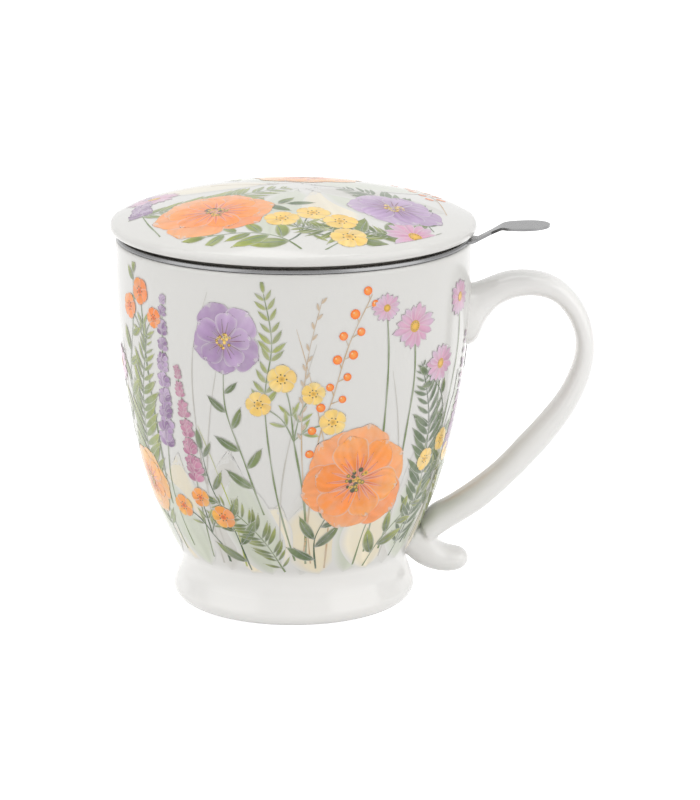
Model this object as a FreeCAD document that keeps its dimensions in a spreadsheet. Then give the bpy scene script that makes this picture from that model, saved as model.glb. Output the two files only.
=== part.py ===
# Lidded porcelain tea mug with a lift-out steel infuser.
# Millimetres, +Z up, origin at the centre of the foot ring, +X towards the handle.
import FreeCAD, Part
import os
import Sketcher
from FreeCAD import Placement, Rotation, Vector

os.makedirs("parts", exist_ok=True)
doc = FreeCAD.newDocument("TeaMug")

# Driving sizes, in millimetres and degrees
sheet = doc.addObject("Spreadsheet::Sheet", "Size")
SIZES = [
    # mug, turned on a wheel: foot, waist, bowl and rolled lip
    ("foot_radius", 31.0),
    ("foot_ring_width", 5.2),
    ("foot_bead_radius", 32.35),
    ("foot_bead_height", 3.6),
    ("foot_bead_round", 3.0),
    ("neck_radius", 31.3),
    ("neck_height", 6.7),
    ("waist_round", 8.1),
    ("bowl_radius", 31.44),
    ("bowl_height", 13.9),
    ("bowl_round", 120.0),
    ("belly_radius", 42.05),
    ("belly_height", 43.2),
    ("shoulder_round", 220.0),
    ("mouth_radius", 47.1),
    ("mouth_height", 96.0),
    ("mug_wall", 3.1),
    ("floor_radius", 24.0),
    ("floor_height", 14.0),
    ("floor_round", 7.5),
    ("foot_recess", 9.0),
    ("recess_round", 2.5),
    # handle, cast in one strap with a webbed upper root and a curled lower tail
    ("handle_reach", 30.7),
    ("handle_base_height", 15.6),
    ("handle_rise", 69.75),
    ("handle_thickness", 5.6),
    ("handle_width", 10.8),
    ("tail_reach", 16.0),
    ("tail_height", 9.0),
    ("tail_thickness", 8.0),
    # infuser: rolled rim, flange, neck, shoulder and collar in one pressed sheet
    ("sheet_thickness", 0.7),
    ("bead_round", 0.62),
    ("bead_overhang", 0.55),
    ("bead_clearance", 0.15),
    ("mouth_clearance", 1.25),
    ("neck_depth", 9.0),
    ("shoulder_drop", 1.2),
    ("collar_length", 6.0),
    ("bend_round", 0.9),
    # infuser: slotted sleeve and pressed base
    ("sleeve_clearance", 5.95),
    ("sleeve_thickness", 0.5),
    ("sleeve_bottom", 34.0),
    ("slot_width", 1.1),
    ("slot_bridge", 2.6),
    ("slot_rows", 4),
    ("slot_columns", 36),
    ("slot_margin", 6.4),
    ("slot_top_margin", 1.6),
    ("base_skirt", 5.0),
    ("base_round", 1.2),
    ("base_hub", 9.0),
    ("base_slot_gap", 2.4),
    ("base_margin", 5.6),
    ("base_slots", 18),
    # infuser: lifting tab
    ("tab_thickness", 0.7),
    ("tab_root_width", 8.0),
    ("tab_neck_width", 4.4),
    ("tab_width", 11.4),
    ("tab_length", 21.7),
    ("tab_rise", 3.95),
    ("tab_tip_lift", 0.5),
    ("tab_slope", 29.0),
    ("tab_bend", 2.4),
    ("tab_land", 0.9),
    ("tab_angle", 8.0),
    # lid: shallow dome, rounded edge, seat and locating ring
    ("lid_overhang", 1.4),
    ("brim_width", 7.5),
    ("dome_height", 12.35),
    ("dome_sag", 5.35),
    ("brim_round", 36.0),
    ("brim_drop", 2.95),
    ("brim_thickness", 3.1),
    ("edge_round", 2.2),
    ("edge_under_round", 1.4),
    ("edge_gap", 0.85),
    ("lid_wall", 4.6),
    ("ring_clearance", 0.9),
    ("ring_width", 3.4),
    ("ring_depth", 4.2),
    ("ring_round", 1.0),
]
for row, (alias, value) in enumerate(SIZES, start=1):
    cell = "A%d" % row
    sheet.set(cell, str(value))
    sheet.setAlias(cell, alias)
doc.recompute()


def value(expression):
    return float(sheet.evalExpression(expression))


def size(text):
    """Words that name a size become references to the sheet."""
    for alias, _ in sorted(SIZES, key=lambda pair: -len(pair[0])):
        text = text.replace("{%s}" % alias, "Size." + alias)
    return text


def origin_plane(body, role):
    for feature in body.Origin.OriginFeatures:
        if feature.Role == role:
            return feature


def new_body(label):
    body = doc.addObject("PartDesign::Body", label)
    body.Label = label
    return body


def new_sketch(body, role, name):
    sketch = body.newObject("Sketcher::SketchObject", name)
    sketch.AttachmentSupport = (origin_plane(body, role), [""])
    sketch.MapMode = "FlatFace"
    return sketch


def pin(sketch, kind, geo, pos, expression):
    """Hold one coordinate of a sketch point at an expression of the sheet."""
    text = size(expression)
    if text == "0":
        axis = -2 if kind == "DistanceX" else -1
        sketch.addConstraint(Sketcher.Constraint("PointOnObject", geo, pos, axis))
        return
    index = sketch.addConstraint(Sketcher.Constraint(kind, geo, pos, value(text)))
    sketch.setExpression("Constraints[%d]" % index, text)


def arc_middle(start, end, radius, side):
    """Middle point of the short arc between two points; side +1 bulges to the right."""
    chord = end - start
    half = chord.Length / 2
    sagitta = radius - (radius ** 2 - half ** 2) ** 0.5
    normal = Vector(chord.y, -chord.x, 0).normalize()
    return (start + end) * 0.5 + normal * sagitta * side


def outline(sketch, corners):
    """Closed outline. Each corner is (x, y) and, for an arc to the next one, radius and side;
    a fifth entry keeps the arc's centre on the turning axis."""
    first = sketch.GeometryCount
    points = [Vector(value(size(c[0])), value(size(c[1])), 0) for c in corners]
    count = len(corners)
    ends = []
    for i, corner in enumerate(corners):
        start, end = points[i], points[(i + 1) % count]
        if len(corner) == 2:
            sketch.addGeometry(Part.LineSegment(start, end))
            ends.append((1, 2))
            continue
        middle = arc_middle(start, end, value(size(corner[2])), corner[3])
        if corner[3] > 0:
            sketch.addGeometry(Part.Arc(start, middle, end))
            ends.append((1, 2))
        else:
            sketch.addGeometry(Part.Arc(end, middle, start))
            ends.append((2, 1))
    for i, corner in enumerate(corners):
        j = (i + 1) % count
        link = Sketcher.Constraint("Coincident", first + i, ends[i][1], first + j, ends[j][0])
        sketch.addConstraint(link)
    for i, corner in enumerate(corners):
        pin(sketch, "DistanceX", first + i, ends[i][0], corner[0])
        pin(sketch, "DistanceY", first + i, ends[i][0], corner[1])
        if len(corner) > 2 and corner[-1] == "on axis":
            sketch.addConstraint(Sketcher.Constraint("PointOnObject", first + i, 3, -2))
        elif len(corner) > 2:
            text = size(corner[2])
            index = sketch.addConstraint(Sketcher.Constraint("Radius", first + i, value(text)))
            sketch.setExpression("Constraints[%d]" % index, text)


def revolve(body, sketch, name, kind="PartDesign::Revolution"):
    turned = body.newObject(kind, name)
    turned.Profile = sketch
    turned.ReferenceAxis = (sketch, ["V_Axis"])
    turned.Angle = 360
    body.Tip = turned
    return turned


# Mug body
MUG_OUTSIDE = [
    ("{foot_radius}", "0", "{foot_bead_round}", 1),
    ("{foot_bead_radius}", "{foot_bead_height}"),
    ("{neck_radius}", "{neck_height}", "{waist_round}", -1),
    ("{bowl_radius}", "{bowl_height}", "{bowl_round}", 1),
    ("{belly_radius}", "{belly_height}", "{shoulder_round}", 1),
]
mug = new_body("mug_body")
mug_sketch = new_sketch(mug, "XZ_Plane", "mug_profile")
LIP = "{mug_wall} / 2"
outline(mug_sketch, MUG_OUTSIDE + [
    ("{mouth_radius}", "{mouth_height}", LIP + " * 1.0001", 1),
    ("{mouth_radius} - {mug_wall}", "{mouth_height}", "{shoulder_round} - {mug_wall}", -1),
    ("{belly_radius} - {mug_wall}", "{belly_height}", "{bowl_round} - {mug_wall}", -1),
    ("{floor_radius} + 0.77 * {floor_round}", "{floor_height} + 0.8 * {floor_round}",
     "{floor_round}", -1),
    ("{floor_radius}", "{floor_height}"),
    ("0", "{floor_height}"),
    ("0", "{foot_recess}"),
    ("{foot_radius} - {foot_ring_width} - {recess_round}", "{foot_recess}",
     "{recess_round}", -1),
    ("{foot_radius} - {foot_ring_width}", "{foot_recess} - {recess_round}"),
    ("{foot_radius} - {foot_ring_width}", "0"),
])
revolve(mug, mug_sketch, "mug_turned")

# Handle: sections across the strap, from the upper root to the lower one
handle = new_body("mug_handle")


def section(name, x, z, tilt, half_thick, half_wide, corner):
    """Rounded rectangle across the strap, its thickness along the tilted direction."""
    sketch = new_sketch(handle, "XY_Plane", name)
    turn = Rotation(Vector(0, 1, 0), -tilt)
    sketch.AttachmentOffset = Placement(Vector(value(size(x)), 0, value(size(z))), turn)
    sketch.setExpression(".AttachmentOffset.Base.x", size(x))
    sketch.setExpression(".AttachmentOffset.Base.z", size(z))
    a, b, c = "(" + half_thick + ")", "(" + half_wide + ")", "(" + corner + ")"
    outline(sketch, [
        (a, "-" + b + " + " + c),
        (a, b + " - " + c, c, 1),
        (a + " - " + c, b),
        ("-" + a + " + " + c, b, c, 1),
        ("-" + a, b + " - " + c),
        ("-" + a, "-" + b + " + " + c, c, 1),
        ("-" + a + " + " + c, "-" + b),
        (a + " - " + c, "-" + b, c, 1),
    ])
    return sketch


# Centre of each section: how far out and how high, as shares of reach and rise;
# then tilt, thickness and width against the strap's own, and corner rounding
STRAP = [
    (-0.125, 0.832, 86, 4.00, 1.40, 0.80),
    (0.106, 0.913, 86, 2.58, 1.20, 0.90),
    (0.204, 0.955, 80, 1.94, 1.10, 0.90),
    (0.339, 0.987, 77, 1.48, 1.04, 0.92),
    (0.500, 1.000, 81, 1.21, 1.00, 0.92),
    (0.658, 0.990, 72, 1.15, 0.98, 0.92),
    (0.792, 0.963, 55, 1.11, 0.96, 0.92),
    (0.904, 0.913, 37, 1.06, 0.95, 0.92),
    (0.974, 0.844, 15, 1.03, 0.95, 0.92),
    (1.000, 0.748, -3, 1.00, 0.95, 0.92),
    (0.971, 0.656, -17, 1.05, 0.95, 0.92),
    (0.884, 0.565, -34, 1.14, 0.96, 0.92),
    (0.712, 0.453, -37, 1.19, 0.98, 0.92),
    (0.493, 0.335, -41, 1.17, 1.00, 0.92),
    (0.246, 0.226, -46, 1.21, 1.03, 0.92),
]
LOWER = [
    (0.510, 0.1455, -54, 1.27, 1.08, 0.90),
    (0.252, 0.068, -56, 1.36, 1.15, 0.88),
    (-0.020, 0.000, -57, 1.50, 1.25, 0.86),
]
THICK = "{handle_thickness} / 2 * %g"
WIDE = "{handle_width} / 2 * %g"
strap_sections = []
for number, (out, up, tilt, thick, wide, soft) in enumerate(STRAP + LOWER, start=1):
    if number <= len(STRAP):
        x_place = "{mouth_radius} + {handle_reach} * %g" % out
    else:
        x_place = "{bowl_radius} + {handle_reach} * %g" % out
    z_place = "{handle_base_height} + {handle_rise} * %g" % up
    half_thick = THICK % thick
    half_wide = WIDE % wide
    corner = "min(%s; %s) * %g" % (half_thick, half_wide, soft)
    strap_sections.append(section("strap_%02d" % number, x_place, z_place, tilt,
                                  half_thick, half_wide, corner))
doc.recompute()
strap = handle.newObject("PartDesign::AdditiveLoft", "strap")
strap.Profile = strap_sections[0]
strap.Sections = strap_sections[1:]
handle.Tip = strap
doc.recompute()

# Tail of the lower root, curled outwards
TAIL = [
    (-0.05, 3.2, 98, 1.10, 1.25, 0.80),
    (0.42, 1.3, 98, 1.10, 1.15, 0.86),
    (0.74, -0.05, 96, 0.92, 1.05, 0.88),
    (0.90, 0.00, 92, 0.66, 0.96, 0.88),
    (0.99, 0.22, 88, 0.34, 0.78, 0.84),
    (1.02, 0.32, 88, 0.16, 0.60, 0.80),
]
tail_sections = []
for number, (out, up, tilt, thick, wide, soft) in enumerate(TAIL, start=1):
    half_thick = "{tail_thickness} / 2 * %g" % thick
    half_wide = WIDE % wide
    corner = "min(%s; %s) * %g" % (half_thick, half_wide, soft)
    x_place = "{bowl_radius} + {tail_reach} * %g" % out
    z_place = "{tail_height} + (%g)" % up
    tail_sections.append(section("tail_%02d" % number, x_place, z_place, tilt,
                                 half_thick, half_wide, corner))
doc.recompute()
tail = handle.newObject("PartDesign::AdditiveLoft", "tail")
tail.Profile = tail_sections[0]
tail.Sections = tail_sections[1:]
handle.Tip = tail
doc.recompute()
before_trim = tail.Shape.Volume

# The strap and tail end on the mug's outer surface
trim_sketch = new_sketch(handle, "XZ_Plane", "mug_outside")
outline(trim_sketch, MUG_OUTSIDE + [
    ("{mouth_radius}", "{mouth_height}"),
    ("0", "{mouth_height}"),
    ("0", "0"),
])
trim = revolve(handle, trim_sketch, "trim_to_mug", "PartDesign::Groove")
doc.recompute()
if not trim.Shape.Volume < before_trim - 100:
    raise RuntimeError("the handle's roots are not trimmed")

# Heights and radii of the infuser and the lid, taken from the mug's mouth and inside
SLEEVE_R = "({belly_radius} - {mug_wall} - {sleeve_clearance})"
LID_R = "({mouth_radius} + {lid_overhang})"
DOME_R = "(" + LID_R + " - {brim_width})"
LIP_TOP = "{mouth_height} + {mug_wall} / 2"
BEAD_Z = "(" + LIP_TOP + " + {bead_clearance} + {bead_round})"
BEAD_R = "({mouth_radius} - {mug_wall} / 2 + {bead_overhang})"
FLANGE_TOP = "(" + BEAD_Z + " + {sheet_thickness} / 2)"
FLANGE_UNDER = "(" + BEAD_Z + " - {sheet_thickness} / 2)"
NECK_R = "({mouth_radius} - {mug_wall} - {mouth_clearance})"
SHOULDER_Z = "(" + FLANGE_UNDER + " - {neck_depth})"
COLLAR_R = "(" + SLEEVE_R + " + {sheet_thickness})"
COLLAR_Z = "(" + SHOULDER_Z + " - {shoulder_drop} - {collar_length})"
BEND_OUT = "({bend_round} + {sheet_thickness})"

# Infuser rim: bead, flange, neck, shoulder and collar
rim = new_body("infuser_rim")
rim_sketch = new_sketch(rim, "XZ_Plane", "rim_profile")
BEAD_JOIN = BEAD_R + " - sqrt({bead_round} ^ 2 - {sheet_thickness} ^ 2 / 4)"
outline(rim_sketch, [
    (BEAD_R, BEAD_Z + " - {bead_round}", "{bead_round} * 1.0001", 1),
    (BEAD_R, BEAD_Z + " + {bead_round}", "{bead_round}", 1),
    (BEAD_JOIN, FLANGE_TOP),
    (NECK_R + " - {sheet_thickness} + " + BEND_OUT, FLANGE_TOP, BEND_OUT, -1),
    (NECK_R + " - {sheet_thickness}", FLANGE_TOP + " - " + BEND_OUT),
    (NECK_R + " - {sheet_thickness}", SHOULDER_Z + " + {bend_round}", "{bend_round}", -1),
    (NECK_R + " - {sheet_thickness} - {bend_round}", SHOULDER_Z),
    (COLLAR_R + " + {bend_round}", SHOULDER_Z + " - {shoulder_drop} + {bend_round}"),
    (COLLAR_R + " - {sheet_thickness}", SHOULDER_Z + " - {shoulder_drop}"),
    (COLLAR_R + " - {sheet_thickness}", COLLAR_Z),
    (COLLAR_R, COLLAR_Z),
    (COLLAR_R, SHOULDER_Z + " - {shoulder_drop} - {sheet_thickness}"),
    (COLLAR_R + " + {bend_round}",
     SHOULDER_Z + " - {shoulder_drop} + {bend_round} - {sheet_thickness}"),
    (NECK_R + " - " + BEND_OUT, SHOULDER_Z + " - {sheet_thickness}", BEND_OUT, 1),
    (NECK_R, SHOULDER_Z + " - {sheet_thickness} + " + BEND_OUT),
    (NECK_R, FLANGE_UNDER + " - {bend_round}", "{bend_round}", 1),
    (NECK_R + " + {bend_round}", FLANGE_UNDER),
    (BEAD_JOIN, FLANGE_UNDER, "{bead_round}", 1),
])
revolve(rim, rim_sketch, "rim_pressed")

# Infuser sleeve: a rolled tube with rows of upright slots, one cut for all of them
SLEEVE_TOP = SHOULDER_Z + " - {shoulder_drop} - {sheet_thickness}"
sleeve_r = value(size(SLEEVE_R))
sleeve_in = sleeve_r - value("Size.sleeve_thickness")
sleeve_low = value("Size.sleeve_bottom")
sleeve_rise = value(size(SLEEVE_TOP)) - sleeve_low
slot_w = value("Size.slot_width")
slot_rows = int(value("Size.slot_rows"))
slot_low = sleeve_low + value("Size.slot_margin")
slot_high = value(size(COLLAR_Z)) - value("Size.slot_top_margin")
slot_pitch = (slot_high - slot_low + value("Size.slot_bridge")) / slot_rows
slot_l = slot_pitch - value("Size.slot_bridge")
columns = int(value("Size.slot_columns"))
tube = Part.makeCylinder(sleeve_r, sleeve_rise, Vector(0, 0, sleeve_low))
tube = tube.cut(Part.makeCylinder(sleeve_in, sleeve_rise, Vector(0, 0, sleeve_low)))
slot_depth = 3 * value("Size.sleeve_thickness")
cutters = []
for column in range(columns):
    for row in range(slot_rows):
        low = slot_low + slot_pitch * row
        place = Vector(sleeve_in - slot_depth / 2, -slot_w / 2, low)
        cutter = Part.makeBox(slot_depth * 2, slot_w, slot_l, place)
        cutter.rotate(Vector(0, 0, 0), Vector(0, 0, 1), (column + 0.5) * 360.0 / columns)
        cutters.append(cutter)
wall = doc.addObject("Part::Feature", "infuser_wall")
wall.Label = "infuser_wall"
wall.Shape = tube.cut(cutters)
wall.Placement = Placement(Vector(0, 0, 0), Rotation())
if not wall.Shape.Volume < tube.Volume * 0.97:
    raise RuntimeError("the sleeve's slots cut nothing")

# Infuser base: pressed cup with radial slots, its skirt outside the sleeve
base = new_body("infuser_base")
base_sketch = new_sketch(base, "XZ_Plane", "base_profile")
BASE_OUT = "(" + SLEEVE_R + " + {sleeve_thickness})"
BASE_LOW = "({sleeve_bottom} - {sleeve_thickness})"
outline(base_sketch, [
    ("0", BASE_LOW),
    (BASE_OUT + " - {base_round}", BASE_LOW, "{base_round}", 1),
    (BASE_OUT, BASE_LOW + " + {base_round}"),
    (BASE_OUT, "{sleeve_bottom} + {base_skirt}"),
    (SLEEVE_R, "{sleeve_bottom} + {base_skirt}"),
    (SLEEVE_R, "{sleeve_bottom}"),
    ("0", "{sleeve_bottom}"),
])
revolve(base, base_sketch, "base_pressed")
doc.recompute()
plain_base = base.Shape.Volume
base_slot_sketch = new_sketch(base, "XY_Plane", "base_slots_two")
BASE_SLOT = "((" + SLEEVE_R + " - {base_margin} - {base_hub} - {base_slot_gap}) / 2)"
for row in range(2):
    start = "{base_hub} + (" + BASE_SLOT + " + {base_slot_gap}) * %d" % row
    outline(base_slot_sketch, [
        (start, "-{slot_width} / 2"),
        (start + " + " + BASE_SLOT, "-{slot_width} / 2"),
        (start + " + " + BASE_SLOT, "{slot_width} / 2"),
        (start, "{slot_width} / 2"),
    ])
base_cut = base.newObject("PartDesign::Pocket", "base_slots_cut")
base_cut.Profile = base_slot_sketch
base_cut.Type = "Length"
base_cut.Length = value("Size.sleeve_bottom") + 1
base_cut.setExpression("Length", "Size.sleeve_bottom + 1")
base_cut.Reversed = True
base.Tip = base_cut
doc.recompute()
base_around = base.newObject("PartDesign::PolarPattern", "base_slots_around")
base_around.Originals = [base_cut]
base_around.Axis = (base_slot_sketch, ["N_Axis"])
base_around.Angle = 360
base_around.Occurrences = int(value("Size.base_slots"))
base_around.setExpression("Occurrences", "Size.base_slots")
base.Tip = base_around
doc.recompute()
if not base.Shape.Volume < plain_base * 0.98:
    raise RuntimeError("the base's slots cut nothing")

# Lifting tab: a bent strip from the rim's bead, cut to a paddle in plan
tab = new_body("infuser_tab")
tab.Placement = Placement(Vector(0, 0, 0), Rotation(Vector(0, 0, 1), -value("Size.tab_angle")))
tab.setExpression(".Placement.Rotation.Angle", "-Size.tab_angle")
tab_side = new_sketch(tab, "XZ_Plane", "tab_bend")
TAB_IN = BEAD_R
TAB_LOW = "(" + BEAD_Z + " - {tab_thickness} / 2)"
TAB_TOP = "(" + BEAD_Z + " + {tab_thickness} / 2)"
SLOPE = "({tab_slope} * 1 deg)"
OUTER = "({tab_bend} + {tab_thickness})"
BEND_X = "(" + BEAD_R + " + {bead_round} + {tab_land})"
TURN_X = "(({tab_bend} * 2 + {tab_thickness}) * sin(" + SLOPE + "))"
TURN_Z = "(({tab_bend} * 2 + {tab_thickness}) * (1 - cos(" + SLOPE + ")))"
RUN_X = "(({tab_rise} - " + TURN_Z + ") / tan(" + SLOPE + "))"
LAND_X = "(" + BEND_X + " + " + TURN_X + " + " + RUN_X + ")"
outline(tab_side, [
    (TAB_IN, TAB_LOW),
    (BEND_X, TAB_LOW, OUTER, 1),
    (BEND_X + " + " + OUTER + " * sin(" + SLOPE + ")",
     TAB_LOW + " + " + OUTER + " * (1 - cos(" + SLOPE + "))"),
    (LAND_X + " - {tab_bend} * sin(" + SLOPE + ")",
     TAB_LOW + " + {tab_rise} - {tab_bend} * (1 - cos(" + SLOPE + "))", "{tab_bend}", -1),
    (LAND_X, TAB_LOW + " + {tab_rise}"),
    (TAB_IN + " + {tab_length}", TAB_LOW + " + {tab_rise} + {tab_tip_lift}"),
    (TAB_IN + " + {tab_length}", TAB_TOP + " + {tab_rise} + {tab_tip_lift}"),
    (LAND_X, TAB_TOP + " + {tab_rise}", OUTER, 1),
    (LAND_X + " - " + OUTER + " * sin(" + SLOPE + ")",
     TAB_TOP + " + {tab_rise} - " + OUTER + " * (1 - cos(" + SLOPE + "))"),
    (BEND_X + " + {tab_bend} * sin(" + SLOPE + ")",
     TAB_TOP + " + {tab_bend} * (1 - cos(" + SLOPE + "))", "{tab_bend}", -1),
    (BEND_X, TAB_TOP),
    (TAB_IN, TAB_TOP),
])
strip = tab.newObject("PartDesign::Pad", "tab_strip")
strip.Profile = tab_side
strip.Length = value("Size.tab_width") + 2
strip.setExpression("Length", "Size.tab_width + 2")
strip.Midplane = True
tab.Tip = strip
doc.recompute()
whole_strip = strip.Shape.Volume
tab_plan = new_sketch(tab, "XY_Plane", "tab_outline")
FAR = TAB_IN + " + {tab_length}"
outline(tab_plan, [
    (TAB_IN + " - 2", "-{tab_width}"),
    (FAR + " + 2", "-{tab_width}"),
    (FAR + " + 2", "{tab_width}"),
    (TAB_IN + " - 2", "{tab_width}"),
])
LEAF_R = "{tab_width} * 0.5"
outline(tab_plan, [
    (TAB_IN + " - 1", "-{tab_root_width} / 2"),
    (TAB_IN + " + {tab_length} * 0.07", "-{tab_root_width} / 2"),
    (TAB_IN + " + {tab_length} * 0.13", "-{tab_neck_width} / 2"),
    (TAB_IN + " + {tab_length} * 0.30", "-{tab_neck_width} / 2", "{tab_length} * 0.7", -1),
    (TAB_IN + " + {tab_length} * 0.50", "-{tab_width} * 0.42", "{tab_length} * 0.6", 1),
    (FAR + " - " + LEAF_R, "-{tab_width} / 2", LEAF_R + " * 1.02", 1),
    (FAR, "0", LEAF_R + " * 1.02", 1),
    (FAR + " - " + LEAF_R, "{tab_width} / 2", "{tab_length} * 0.6", 1),
    (TAB_IN + " + {tab_length} * 0.50", "{tab_width} * 0.42", "{tab_length} * 0.7", -1),
    (TAB_IN + " + {tab_length} * 0.30", "{tab_neck_width} / 2"),
    (TAB_IN + " + {tab_length} * 0.13", "{tab_neck_width} / 2"),
    (TAB_IN + " + {tab_length} * 0.07", "{tab_root_width} / 2"),
    (TAB_IN + " - 1", "{tab_root_width} / 2"),
])
paddle = tab.newObject("PartDesign::Pocket", "tab_paddle")
paddle.Profile = tab_plan
paddle.Type = "Length"
paddle.Length = value("Size.mouth_height") * 2
paddle.setExpression("Length", "Size.mouth_height * 2")
paddle.Reversed = True
tab.Tip = paddle
doc.recompute()
if not paddle.Shape.Volume < whole_strip * 0.9:
    raise RuntimeError("the tab's outline cuts nothing")
root_sketch = new_sketch(tab, "XZ_Plane", "bead_outside")
outline(root_sketch, [
    ("0", TAB_LOW + " - 5"),
    (BEAD_R + " + {bead_round}", TAB_LOW + " - 5"),
    (BEAD_R + " + {bead_round}", TAB_TOP + " + 5"),
    ("0", TAB_TOP + " + 5"),
])
revolve(tab, root_sketch, "tab_root", "PartDesign::Groove")

# Lid: domed top, rounded brim, seat on the infuser's flange and a locating ring
lid = new_body("lid")
lid_sketch = new_sketch(lid, "XZ_Plane", "lid_profile")
CROWN = "(" + FLANGE_TOP + " + {dome_height})"
BRIM_TOP = "(" + CROWN + " - {dome_sag} - {brim_drop})"
EDGE_UNDER = "(" + FLANGE_TOP + " + {edge_gap})"
RING_R = "(" + NECK_R + " - {sheet_thickness} - {ring_clearance})"
RING_LOW = "(" + FLANGE_TOP + " - {ring_depth})"
RING_IN = "(" + RING_R + " - {ring_width})"
SEAT_R = "(" + BEAD_R + " - {bead_round} * 1.9)"
CROWN_R = "((" + DOME_R + " ^ 2 + {dome_sag} ^ 2) / (2 * {dome_sag}))"
INNER_R = "(" + CROWN_R + " - {lid_wall})"
INNER_EDGE = CROWN + " - " + CROWN_R + " + sqrt(" + INNER_R + " ^ 2 - " + RING_IN + " ^ 2)"
outline(lid_sketch, [
    ("0", CROWN + " - {lid_wall}", INNER_R, -1, "on axis"),
    (RING_IN, INNER_EDGE),
    (RING_IN, RING_LOW + " + {ring_round}", "{ring_round}", 1),
    (RING_IN + " + {ring_round}", RING_LOW),
    (RING_R + " - {ring_round}", RING_LOW, "{ring_round}", 1),
    (RING_R, RING_LOW + " + {ring_round}"),
    (RING_R, FLANGE_TOP),
    (SEAT_R, FLANGE_TOP),
    (SEAT_R + " + {edge_gap}", EDGE_UNDER),
    (LID_R + " - {edge_under_round}", EDGE_UNDER, "{edge_under_round}", 1),
    (LID_R, EDGE_UNDER + " + {edge_under_round}", "{edge_round}", 1),
    (LID_R + " - 0.6", BRIM_TOP, "{brim_round}", 1),
    (DOME_R, CROWN + " - {dome_sag}", CROWN_R, 1, "on axis"),
    ("0", CROWN),
])
revolve(lid, lid_sketch, "lid_turned")
doc.recompute()

# Every object sound, every piece one valid solid
for thing in doc.Objects:
    if "Invalid" in thing.State or "Error" in thing.State:
        raise RuntimeError("%s: %s" % (thing.Label, thing.State))
for piece in (mug, handle, rim, wall, base, tab, lid):
    shape = piece.Shape
    if shape.isNull() or not shape.isValid() or len(shape.Solids) != 1:
        raise RuntimeError("%s: shape not sound" % piece.Label)
    shape.exportStep("parts/%s.step" % piece.Label)
    box = shape.optimalBoundingBox()
    print("%-14s %9.1f mm3  X %.2f..%.2f  Y %.2f..%.2f  Z %.2f..%.2f" % (
        piece.Label, shape.Volume, box.XMin, box.XMax, box.YMin, box.YMax, box.ZMin, box.ZMax))
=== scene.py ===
import bpy
import bmesh
import math
import random
from mathutils import Matrix, Vector


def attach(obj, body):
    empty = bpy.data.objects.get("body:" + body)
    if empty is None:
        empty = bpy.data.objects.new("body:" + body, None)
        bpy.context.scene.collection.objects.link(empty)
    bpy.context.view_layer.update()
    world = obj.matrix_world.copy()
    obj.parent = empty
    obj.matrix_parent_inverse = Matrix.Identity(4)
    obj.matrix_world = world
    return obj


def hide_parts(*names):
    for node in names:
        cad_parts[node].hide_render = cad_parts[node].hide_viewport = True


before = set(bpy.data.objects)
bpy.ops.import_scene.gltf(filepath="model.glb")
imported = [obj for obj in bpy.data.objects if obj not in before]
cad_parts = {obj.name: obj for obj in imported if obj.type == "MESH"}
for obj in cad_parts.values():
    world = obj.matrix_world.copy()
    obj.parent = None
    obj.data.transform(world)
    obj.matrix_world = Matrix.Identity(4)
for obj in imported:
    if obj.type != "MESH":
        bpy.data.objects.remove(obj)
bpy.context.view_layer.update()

# Mug body: a footed cup of white porcelain, cast in a mould, glazed and fired. From
# the foot up its glaze is greyed as painted shade, so body, lip and lid come out darker
# than the foot and handle. The round of the lip is filled out here, where the
# infuser's bead comes to lie on it.
MM = 0.001
TURNING_STEPS = 192
SHARPEST_ROUND = 38
foot_top = 0.0128
shade_full_height = 0.0150
lip_outline = (
    (47.1, 96.0), (47.1, 96.8), (47.07, 97.3), (46.97, 97.62), (46.78, 97.8), (46.5, 97.83),
    (46.1, 97.68), (45.6, 97.5), (45.3, 97.2), (45.8, 96.5), (47.1, 96.0))


def fired_porcelain(name, with_painted_shade):
    """Glazed white porcelain; with painted shade, its colour is greyed from the foot's top up."""
    porcelain = bpy.data.materials.new(name)
    porcelain.use_nodes = True
    nodes = porcelain.node_tree.nodes
    links = porcelain.node_tree.links
    glaze = nodes["Principled BSDF"]
    glaze.inputs["Roughness"].default_value = 0.13
    glaze.inputs["IOR"].default_value = 1.5
    place = nodes.new("ShaderNodeTexCoord")
    cloud = nodes.new("ShaderNodeTexNoise")
    cloud.inputs["Scale"].default_value = 60.0
    cloud.inputs["Detail"].default_value = 3.0
    tone = nodes.new("ShaderNodeMixRGB")
    tone.inputs["Color1"].default_value = (0.79, 0.78, 0.76, 1)
    tone.inputs["Color2"].default_value = (0.81, 0.80, 0.78, 1)
    links.new(place.outputs["Object"], cloud.inputs["Vector"])
    links.new(cloud.outputs["Fac"], tone.inputs["Fac"])
    if not with_painted_shade:
        links.new(tone.outputs["Color"], glaze.inputs["Base Color"])
        return porcelain
    # painted shade: the glaze colour is multiplied by grey, rising from the foot's top to full strength
    # at the waist
    height = nodes.new("ShaderNodeSeparateXYZ")
    shade_ramp = nodes.new("ShaderNodeMapRange")
    shade_ramp.inputs["From Min"].default_value = foot_top
    shade_ramp.inputs["From Max"].default_value = shade_full_height
    painted_shade_veil = nodes.new("ShaderNodeMixRGB")
    painted_shade_veil.blend_type = "MULTIPLY"
    painted_shade_veil.inputs["Color2"].default_value = (0.83, 0.83, 0.82, 1)
    links.new(place.outputs["Object"], height.inputs["Vector"])
    links.new(height.outputs["Z"], shade_ramp.inputs["Value"])
    links.new(shade_ramp.outputs["Result"], painted_shade_veil.inputs["Fac"])
    links.new(tone.outputs["Color"], painted_shade_veil.inputs["Color1"])
    links.new(painted_shade_veil.outputs["Color"], glaze.inputs["Base Color"])
    return porcelain


def coat_solid(name, finish):
    """Gives a solid of the frame its finish."""
    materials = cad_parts[name].data.materials
    materials.clear()
    materials.append(finish)


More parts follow.
